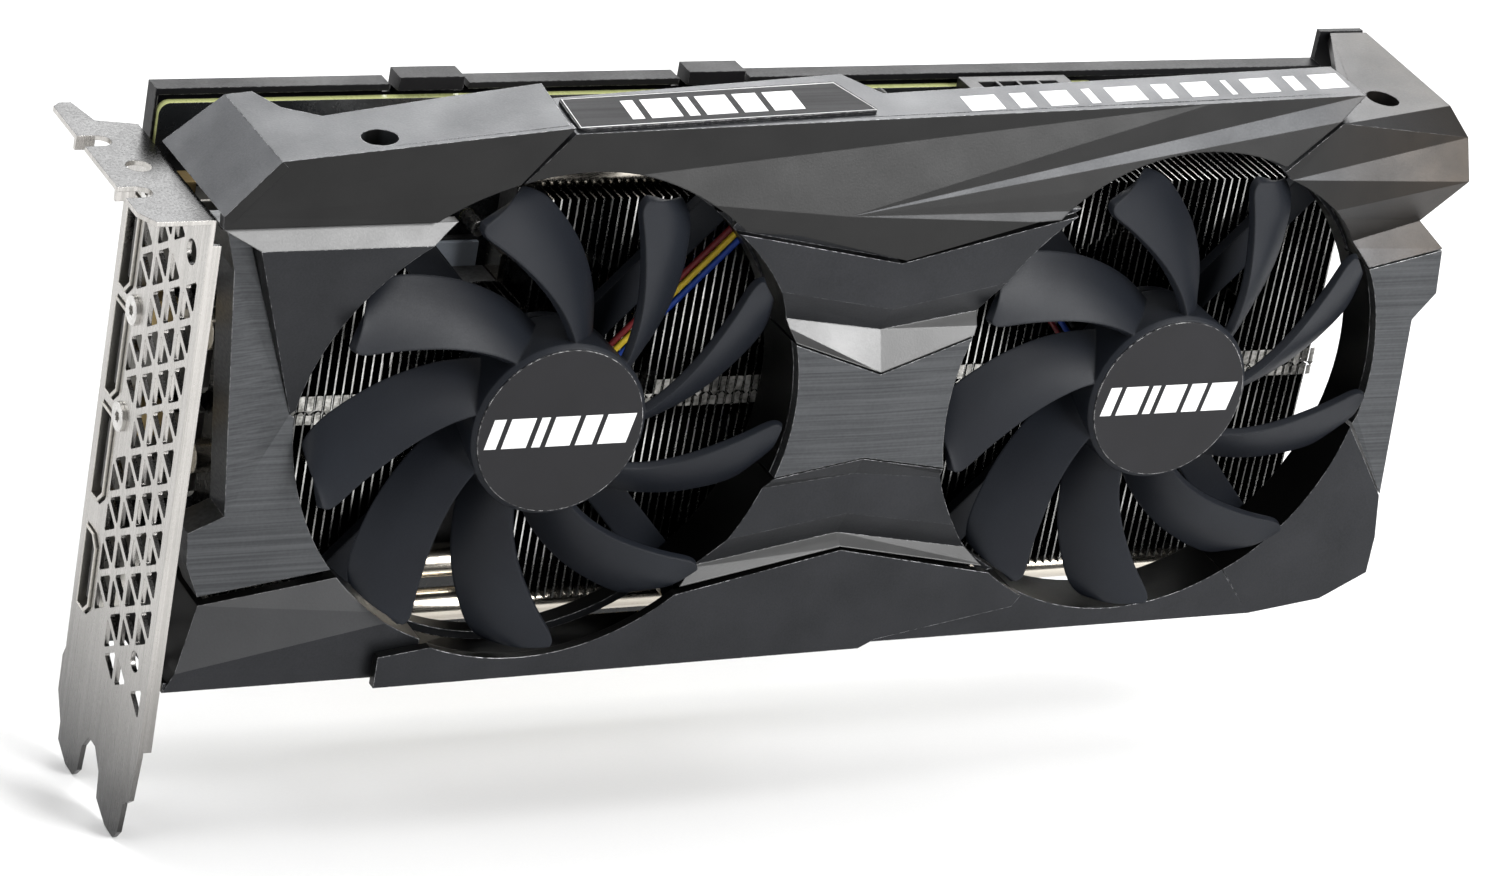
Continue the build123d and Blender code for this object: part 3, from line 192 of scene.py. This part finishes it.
LOOKS = {
    "shroud_panel": surface("brushed_panel", (0.040, 0.042, 0.045), (0.078, 0.081, 0.085), metallic=0.85,
                            rough=(0.30, 0.42), brush=(ALONG_X, 0.008 * MM), wear=((0.6, 0.6, 0.6), 0.6)),
    "fan_plastic": surface("fan_plastic", (0.006, 0.007, 0.010), (0.010, 0.012, 0.016), rough=(0.38, 0.50),
                           mottle=20 * MM, grain=(0.25 * MM, 0.006 * MM), edge=0.6 * MM, specular=0.17),
    "hub_label": surface("hub_film", (0.007, 0.007, 0.008), (0.010, 0.010, 0.012), rough=(0.34, 0.42),
                         grain=(0.2 * MM, 0.004 * MM), wear=((0.7, 0.7, 0.7), 1.0), specular=0.2),
    "name_plate": surface("name_plate_film", (0.012, 0.012, 0.013), (0.020, 0.020, 0.022), specular=0.12,
                          rough=(0.50, 0.60), brush=(ALONG_X, 0.004 * MM), wear=((0.5, 0.5, 0.5), 0.8)),
    "socket_steel": surface("socket_steel", (0.40, 0.39, 0.36), (0.56, 0.54, 0.50), metallic=1.0,
                            rough=(0.25, 0.4)),
    "black_nylon": surface("black_nylon", (0.008, 0.008, 0.009), (0.016, 0.016, 0.017), rough=(0.35, 0.5)),
    "white_nylon": surface("white_nylon", (0.60, 0.58, 0.52), (0.74, 0.72, 0.66), rough=(0.4, 0.55)),
    "steel_screw": surface("bright_steel", (0.50, 0.49, 0.47), (0.66, 0.65, 0.63), metallic=1.0,
                           rough=(0.22, 0.35), mottle=2 * MM),
    "black_screw": surface("blackened_steel", (0.020, 0.020, 0.021), (0.045, 0.045, 0.046), metallic=0.7,
                           rough=(0.3, 0.45), mottle=2 * MM, wear=((0.4, 0.4, 0.4), 0.6)),
    "brass_post": surface("turned_brass", (0.50, 0.36, 0.16), (0.64, 0.48, 0.24), metallic=1.0,
                          rough=(0.25, 0.4)),
    "backplate": surface("backplate_paint", (0.003, 0.003, 0.004), (0.006, 0.006, 0.007), specular=0.2,
                         rough=(0.38, 0.52), grain=(0.4 * MM, 0.012 * MM), wear=((0.35, 0.35, 0.35), 0.5)),
    "spring_steel": surface("spring_steel", (0.30, 0.30, 0.30), (0.44, 0.44, 0.44), metallic=1.0,
                            rough=(0.3, 0.45)),
    "nickel_pipe": surface("nickel_pipe", (0.60, 0.55, 0.48), (0.76, 0.71, 0.62), metallic=1.0,
                           rough=(0.16, 0.28), brush=(ALONG_X, 0.003 * MM)),
    "cast_frame": surface("cast_frame", (0.10, 0.10, 0.10), (0.16, 0.16, 0.16), metallic=0.8,
                          rough=(0.4, 0.6), grain=(0.6 * MM, 0.03 * MM)),
    "thermal_pad": surface("thermal_pad", (0.35, 0.39, 0.45), (0.42, 0.46, 0.52), rough=(0.6, 0.8),
                           grain=(0.5 * MM, 0.02 * MM)),
    "gold": surface("gold_contact", (0.72, 0.50, 0.18), (0.86, 0.64, 0.28), metallic=1.0, rough=(0.2, 0.32),
                    mottle=2 * MM, edge=0.03 * MM),
    "chip_green": surface("chip_laminate", (0.020, 0.060, 0.035), (0.030, 0.080, 0.048), rough=(0.3, 0.45)),
    "silicon": surface("silicon", (0.05, 0.05, 0.06), (0.08, 0.08, 0.09), metallic=0.6, rough=(0.08, 0.15)),
    "black_chip": surface("moulded_chip", (0.010, 0.010, 0.010), (0.022, 0.022, 0.022), rough=(0.45, 0.6),
                          grain=(0.2 * MM, 0.01 * MM)),
    "grey_ferrite": surface("pressed_ferrite", (0.05, 0.05, 0.052), (0.09, 0.09, 0.092), rough=(0.45, 0.6),
                            grain=(0.3 * MM, 0.02 * MM), wear=((0.3, 0.3, 0.3), 0.5)),
    "capacitor": surface("capacitor_can", (0.55, 0.55, 0.56), (0.70, 0.70, 0.71), metallic=1.0,
                         rough=(0.2, 0.32)),
    "magnet": surface("bonded_magnet", (0.02, 0.02, 0.02), (0.04, 0.04, 0.04), rough=(0.5, 0.7)),
    "lamination": surface("lamination", (0.20, 0.20, 0.21), (0.32, 0.32, 0.33), metallic=0.9,
                          rough=(0.35, 0.5), brush=((60, 3500, 60), 0.02 * MM)),
    "copper_wire": surface("copper_winding", (0.42, 0.16, 0.06), (0.58, 0.25, 0.10), metallic=1.0,
                           rough=(0.25, 0.4), brush=((60, 2500, 60), 0.03 * MM)),
    "bearing_bronze": surface("bearing_bronze", (0.36, 0.24, 0.12), (0.48, 0.34, 0.18), metallic=1.0,
                              rough=(0.3, 0.45)),
    "red_wire": surface("red_insulation", (0.11, 0.005, 0.008), (0.17, 0.009, 0.012), rough=(0.35, 0.5)),
    "blue_wire": surface("blue_insulation", (0.010, 0.045, 0.30), (0.020, 0.075, 0.42), rough=(0.35, 0.5)),
    "yellow_wire": surface("yellow_insulation", (0.62, 0.44, 0.02), (0.75, 0.56, 0.05), rough=(0.35, 0.5)),
    "black_wire": surface("black_insulation", (0.008, 0.008, 0.008), (0.016, 0.016, 0.016),
                          rough=(0.35, 0.5)),
}


def part_of(tree, vector, axis):
    """One component of a vector."""
    split = add(tree, "ShaderNodeSeparateXYZ")
    tree.links.new(vector, split.inputs["Vector"])
    return split.outputs[axis]


def normal_part(tree, axis):
    """One component of the surface normal."""
    geometry = add(tree, "ShaderNodeNewGeometry")
    return part_of(tree, geometry.outputs["Normal"], axis)


def place_part(tree, axis):
    """One component of the position on the object, in metres."""
    return part_of(tree, position(tree), axis)


def blended(material, factor_of, other):
    """The material's base colour mixed with another colour by a factor built in its tree."""
    tree = material.node_tree
    socket = tree.nodes["Principled BSDF"].inputs["Base Color"]
    own = socket.links[0].from_socket
    tree.links.new(mix(tree, factor_of(tree), own, other(tree)), socket)
    return material


def grey_noise(size, low, high):
    """Builder of a colour that wanders between two greys."""
    return lambda tree: mix(tree, noise(tree, size), (low, low, low, 1), (high, high, high, 1))


def board_material():
    """Black solder mask over faint tracks, with bare yellow-green laminate on the cut edges."""
    def laminate(tree):
        return mix(tree, noise(tree, 0.4 * MM, 2.0), (0.40, 0.44, 0.16, 1), (0.60, 0.62, 0.30, 1))

    def cut_edge(tree):
        return ramp(tree, math_node(tree, "ABSOLUTE", normal_part(tree, "Y")), 0.6, 0.4)

    material = surface("circuit_board", (0.006, 0.007, 0.008), (0.014, 0.015, 0.016), rough=(0.22, 0.34),
                       mottle=5 * MM, grain=(0.8 * MM, 0.02 * MM))
    return blended(material, cut_edge, laminate)


def fin_material():
    """Aluminium fins: bright cut front edges in places, with painted shade on their sides where the light is
    lost between them, and broad patches of painted shadow.
    """
    def side(tree):
        # Painted shade: sides that face along X, and broad noise patches of painted shadow, turn near black.
        turned = ramp(tree, math_node(tree, "ABSOLUTE", normal_part(tree, "X")), 0.3, 0.7)
        painted_shade = ramp(tree, noise(tree, 22 * MM, 2.0), 0.46, 0.60, 0.0, 0.85)
        return math_node(tree, "MAXIMUM", turned, painted_shade)

    material = surface("fin_aluminium", (0.50, 0.50, 0.48), (0.76, 0.76, 0.74), metallic=1.0,
                       rough=(0.20, 0.34), mottle=3 * MM, edge=0.04 * MM)
    # The near-black grey mixed in here is the painted shade.
    return blended(material, side, grey_noise(4 * MM, 0.008, 0.03))


def bracket_material():
    """Nickel-plated steel, with painted shade on the bent flange and towards the tail."""
    # Painted shade: darker towards the tail and on faces that look up, as on the flange.
    def painted_shade(tree):
        tail = ramp(tree, place_part(tree, "Z"), 30 * MM, -12 * MM)
        flange = ramp(tree, normal_part(tree, "Z"), 0.5, 0.9)
        return math_node(tree, "MAXIMUM", tail, flange)

    material = surface("nickel_sheet", (0.38, 0.37, 0.35), (0.52, 0.50, 0.48), metallic=1.0,
                       rough=(0.20, 0.34), mottle=9 * MM, brush=(ALONG_Z, 0.003 * MM), edge=0.2 * MM)
    return blended(material, painted_shade, grey_noise(7 * MM, 0.03, 0.06))


def shroud_material():
    """Dark painted front, lighter on its sloped ledges as a painted highlight; faces that look inwards are
    nearly black.
    """
    def inward(tree):
        return ramp(tree, normal_part(tree, "Y"), -0.25, -0.05)

    # Painted highlight: faces that tilt upwards are made lighter.
    def painted_ledge_highlight(tree):
        return ramp(tree, normal_part(tree, "Z"), 0.15, 0.36)

    material = surface("shroud_dark_plastic", (0.014, 0.015, 0.017), (0.022, 0.023, 0.026), metallic=0.75,
                       rough=(0.34, 0.44), grain=(0.35 * MM, 0.012 * MM), wear=((0.62, 0.62, 0.64), 0.75))
    # The lighter grey mixed in here is the painted highlight on the ledges.
    material = blended(material, painted_ledge_highlight, grey_noise(9 * MM, 0.075, 0.105))
    return blended(material, inward, grey_noise(6 * MM, 0.003, 0.007))


def cover_material():
    """Grey painted covers, darker on their upright fronts as painted shade, and tinted brown at the far end.
    """
    # Painted shade: faces that look straight forward are made darker.
    def front(tree):
        return ramp(tree, normal_part(tree, "Y"), -0.80, -0.95)

    def far_end(tree):
        return ramp(tree, place_part(tree, "X"), 150 * MM, 182 * MM, 0.0, 0.8)

    def brown(tree):
        return mix(tree, noise(tree, 5 * MM), (0.012, 0.010, 0.008, 1), (0.034, 0.026, 0.019, 1))

    material = surface("shroud_cover_plastic", (0.040, 0.042, 0.046), (0.052, 0.054, 0.058), metallic=0.75,
                       rough=(0.32, 0.42), grain=(0.35 * MM, 0.012 * MM), wear=((0.70, 0.70, 0.72), 0.85))
    # The darker grey mixed in here is the painted shade on the fronts.
    material = blended(material, front, grey_noise(9 * MM, 0.010, 0.018))
    return blended(material, far_end, brown)


LOOKS["nickel_bracket"] = bracket_material()
LOOKS["fin_aluminium"] = fin_material()
LOOKS["shroud_dark"] = shroud_material()
LOOKS["shroud_cover"] = cover_material()
LOOKS["board"] = board_material()
WHITE_PRINT = surface("white_print", (0.72, 0.72, 0.72), (0.84, 0.84, 0.84), rough=(0.35, 0.5), mottle=3 * MM)


def dress_cad_nodes():
    """Give every CAD node the look of its material slot."""
    for entry in frame["record"]["subparts"]:
        node = NODES[entry["node"]]
        node.data.materials.clear()
        node.data.materials.append(LOOKS[entry["material_slot"]])


dress_cad_nodes()


# ---------------------------------------------------------------- printed marks, in millimetres
FAN_X = (7.9, 128.9)
FAN_Z = 66.45
ROOF_START = (2.2, 121.2)       # X and Z where the right roof begins
ROOF_SLOPE = 1.5 / 158.5
PRINT_T = 0.05
SLANT = 0.22                    # sideways lean of a bar for its height

HUB_FACE_Y = -40.26
HUB_BARS = ((2.2, 4.6, 1.6, 4.6, 3.2, 5.4), 1.0, 5.6)           # widths, gap and height
PLATE_BARS = ((2.4, 6.0, 2.0, 6.0, 4.6, 6.0), 1.3, 7.4)
ROOF_BARS = ((7.0, 3.4, 5.6, 1.8, 7.0, 3.4, 5.6, 1.2, 6.4, 2.6, 6.4), 3.0, 6.0)
PLATE_MARK = (31.2, -30.4)      # middle of each line of bars
ROOF_MARK = (119.5, -29.6)
PLATE_LIFT = 0.57               # top face of the name plate above the roof
ROOF_LIFT = 0.015 - PRINT_T     # sunk so that the print barely stands out
MARK_ALONG = Vector((1.0, 0.06)).normalized()
MARK_UP = Vector((-0.10, 1.0))
BORDER_SHRINK = ((0.985, 0.94), (0.979, 0.91))                  # outer and inner edge, along X and Y
PLATE_CORNERS = ((4.3, -26.0), (58.3, -22.3), (61.0, -34.8), (2.9, -38.3))


def mesh_piece(name, points, faces, material, body="card"):
    """New piece from points in millimetres, riding a body."""
    data = bpy.data.meshes.new(name)
    data.from_pydata([(x * MM, y * MM, z * MM) for x, y, z in points], [], faces)
    data.validate()
    data.materials.append(material)
    piece = bpy.data.objects.new(name, data)
    bpy.context.scene.collection.objects.link(piece)
    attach(piece, body)
    return piece


def prisms(outlines, lift):
    """Points and faces of thin prisms: each outline is raised by lift to make its outer face."""
    points, faces = [], []
    for outline in outlines:
        start, count = len(points), len(outline)
        points += outline
        points += [tuple(a + b for a, b in zip(point, lift)) for point in outline]
        faces.append([start + i for i in range(count)])
        faces.append([start + count + i for i in reversed(range(count))])
        for i in range(count):
            j = (i + 1) % count
            faces.append([start + j, start + i, start + count + i, start + count + j])
    return points, faces


def slanted_bars(widths, gap, height):
    """Outlines of a row of slanted bars centred on the origin, flat."""
    total = sum(widths) + gap * (len(widths) - 1)
    left = -total / 2
    bars = []
    for width in widths:
        bars.append([(left + x + SLANT * y, y) for x, y in
                     ((0, -height / 2), (width, -height / 2), (width, height / 2), (0, height / 2))])
        left += width + gap
    return bars


def hub_mark(side):
    """White bars across the middle of a hub."""
    outlines = [[(FAN_X[side] + x, HUB_FACE_Y, FAN_Z + z) for x, z in bar] for bar in slanted_bars(*HUB_BARS)]
    body = ("left_fan", "right_fan")[side]
    mesh_piece(f"hub_mark_{side}", *prisms(outlines, (0, -PRINT_T, 0)), WHITE_PRINT, body)


def on_roof(x, y, lift):
    """Point above the right roof."""
    return x, y, ROOF_START[1] + (x - ROOF_START[0]) * ROOF_SLOPE + lift


def bars_on_roof(bars, middle, lift):
    """Outlines of a line of bars laid along the roof."""
    return [[on_roof(middle[0] + u * MARK_ALONG[0] + v * MARK_UP[0],
                     middle[1] + u * MARK_ALONG[1] + v * MARK_UP[1], lift) for u, v in bar]
            for bar in slanted_bars(*bars)]


def plate_border():
    """Four thin strips just inside the edges of the name plate."""
    middle_x = sum(x for x, y in PLATE_CORNERS) / 4
    middle_y = sum(y for x, y in PLATE_CORNERS) / 4
    rings = []
    for shrink_x, shrink_y in BORDER_SHRINK:
        rings.append([(middle_x + (x - middle_x) * shrink_x, middle_y + (y - middle_y) * shrink_y)
                      for x, y in PLATE_CORNERS])
    outer, inner = rings
    strips = []
    for i in range(4):
        j = (i + 1) % 4
        strips.append([on_roof(x, y, PLATE_LIFT) for x, y in (outer[i], inner[i], inner[j], outer[j])])
    return strips


def roof_marks():
    """White bars on the name plate and along the right roof, and the plate's thin border."""
    plate = bars_on_roof(PLATE_BARS, PLATE_MARK, PLATE_LIFT) + plate_border()
    mesh_piece("name_plate_mark", *prisms(plate, (0, 0, PRINT_T)), WHITE_PRINT)
    roof = bars_on_roof(ROOF_BARS, ROOF_MARK, ROOF_LIFT)
    mesh_piece("roof_mark", *prisms(roof, (0, 0, PRINT_T)), WHITE_PRINT)


for fan in (0, 1):
    hub_mark(fan)
roof_marks()


# ---------------------------------------------------------------- small cooler parts, in millimetres
FIN_LEFT, FIN_RIGHT, FIN_PITCH = -44.0, 172.8, 1.6
FIN_FRONT = -21.5
HUB_RECESS_R, HUB_RECESS = 25.0, 3.0
TAB_ROWS = ((62.9, 65.7), (60.3, 62.1))
TAB_LEFT, TAB_RIGHT = 0.25, 1.3  # edges of a tab, from the fin it belongs to
TAB_STANDS = 0.24               # how far a tab stands in front of the fins
TAB_LEAN = 0.14                 # most that a corner leans in or out
TAB_T = 0.06
TOOTH_Z, TOOTH_HEIGHT = 62.5, 0.42
TOOTH_ENDS = (0.05, 0.8, 1.55)  # left end, tip and right end, from the fin
TOOTH_STANDS = 0.2
TAB_METAL = surface("tab_metal", (0.06, 0.06, 0.05), (0.95, 0.93, 0.88), metallic=0.45, rough=(0.15, 0.30),
                    mottle=2.5 * MM, edge=0.03 * MM)


def tab_front(x, z):
    """Y of the fin fronts at a point: further back in the recess behind each hub."""
    in_recess = any(math.hypot(x - fan_x, z - FAN_Z) < HUB_RECESS_R for fan_x in FAN_X)
    return FIN_FRONT + (HUB_RECESS if in_recess else 0.0)


def fin_tab_chain():
    """Folded tabs that lock each fin to the next where the two stacks meet."""
    dice = random.Random(4)
    outlines = []
    count = int((FIN_RIGHT - FIN_LEFT) / FIN_PITCH)
    for i in range(count):
        x = FIN_LEFT + i * FIN_PITCH
        for low, high in TAB_ROWS:
            y = tab_front(x, (low + high) / 2) - TAB_STANDS
            lean = dice.uniform(-TAB_LEAN, TAB_LEAN)
            outlines.append([(x + TAB_LEFT, y + lean, low), (x + TAB_RIGHT, y, low),
                             (x + TAB_RIGHT, y - lean, high), (x + TAB_LEFT, y, high)])
        y = tab_front(x, TOOTH_Z) - TOOTH_STANDS
        tooth = TOOTH_HEIGHT if i % 2 else -TOOTH_HEIGHT
        left, tip, right = [x + end for end in TOOTH_ENDS]
        outlines.append([(left, y, TOOTH_Z - tooth), (tip, y - TOOTH_STANDS, TOOTH_Z + tooth),
                         (right, y, TOOTH_Z - tooth)])
    piece = mesh_piece("fin_tab_chain", *prisms(outlines, (0, -TAB_T, 0)), TAB_METAL)
    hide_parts("fin_tabs")


fin_tab_chain()


# ---------------------------------------------------------------- stage, light and camera, in metres
FLOOR_REACH = 6.0
FLOOR_GAP = 0.0002
SKY_STRENGTH = 0.45
CENTRE = (0.06, -0.02, 0.06)    # what every light points at
LENS = 125.52
CAMERA_PLACE = (-0.36676, -0.74888, 0.44896)
CAMERA_RIGHT = (0.88953, -0.42461, 0.16863)
CAMERA_UP = (0.04894, 0.45553, 0.88887)
CAMERA_BACK = (-0.45424, -0.78243, 0.42599)


def floor():
    """Plain pale floor under the bracket's tip."""
    mesh = bmesh.new()
    bmesh.ops.create_grid(mesh, x_segments=8, y_segments=8, size=FLOOR_REACH)
    data = bpy.data.meshes.new("floor")
    mesh.to_mesh(data)
    mesh.free()
    piece = bpy.data.objects.new("floor", data)
    piece.location = (0, 0, CAD_BOX[0].z - FLOOR_GAP)
    bpy.context.scene.collection.objects.link(piece)
    pale = surface("pale_floor", (0.78, 0.78, 0.78), (0.80, 0.80, 0.80), rough=(0.8, 0.9), mottle=0.5)
    data.materials.append(pale)


def soft_light(name, place, size, power):
    """Rectangular studio light aimed at the card."""
    data = bpy.data.lights.new(name, "AREA")
    data.shape = "RECTANGLE"
    data.size, data.size_y = size
    data.energy = power
    light = bpy.data.objects.new(name, data)
    light.location = place
    light.rotation_mode = "QUATERNION"
    light.rotation_quaternion = (Vector(CENTRE) - Vector(place)).to_track_quat("-Z", "Y")
    bpy.context.scene.collection.objects.link(light)


def camera():
    """Camera of the reference view: three-quarter from the bracket side, above, slightly rolled."""
    data = bpy.data.cameras.new("camera")
    data.sensor_width = 36.0
    data.lens = LENS
    data.clip_start, data.clip_end = 0.05, 50.0
    view = bpy.data.objects.new("camera", data)
    turn = Matrix((CAMERA_RIGHT, CAMERA_UP, CAMERA_BACK)).transposed()
    view.matrix_world = Matrix.Translation(CAMERA_PLACE) @ turn.to_4x4()
    bpy.context.scene.collection.objects.link(view)
    bpy.context.scene.camera = view


def world():
    """Even white sky."""
    sky = bpy.data.worlds.new("studio")
    sky.use_nodes = True
    background = sky.node_tree.nodes["Background"]
    background.inputs["Color"].default_value = (1, 1, 1, 1)
    background.inputs["Strength"].default_value = SKY_STRENGTH
    bpy.context.scene.world = sky


floor()
world()
camera()
soft_light("overhead", (0.05, 0.10, 1.00), (1.3, 0.8), 8)
soft_light("front_right", (0.58, -0.82, 0.58), (0.45, 0.85), 17)
soft_light("back_right", (0.64, 0.95, 0.70), (0.8, 0.45), 7)
soft_light("back_left", (-0.56, 1.00, 0.57), (0.5, 0.4), 3)
soft_light("left", (-1.0, -0.2, 0.5), (0.5, 0.7), 3)
bpy.context.scene.view_settings.view_transform = "Standard"
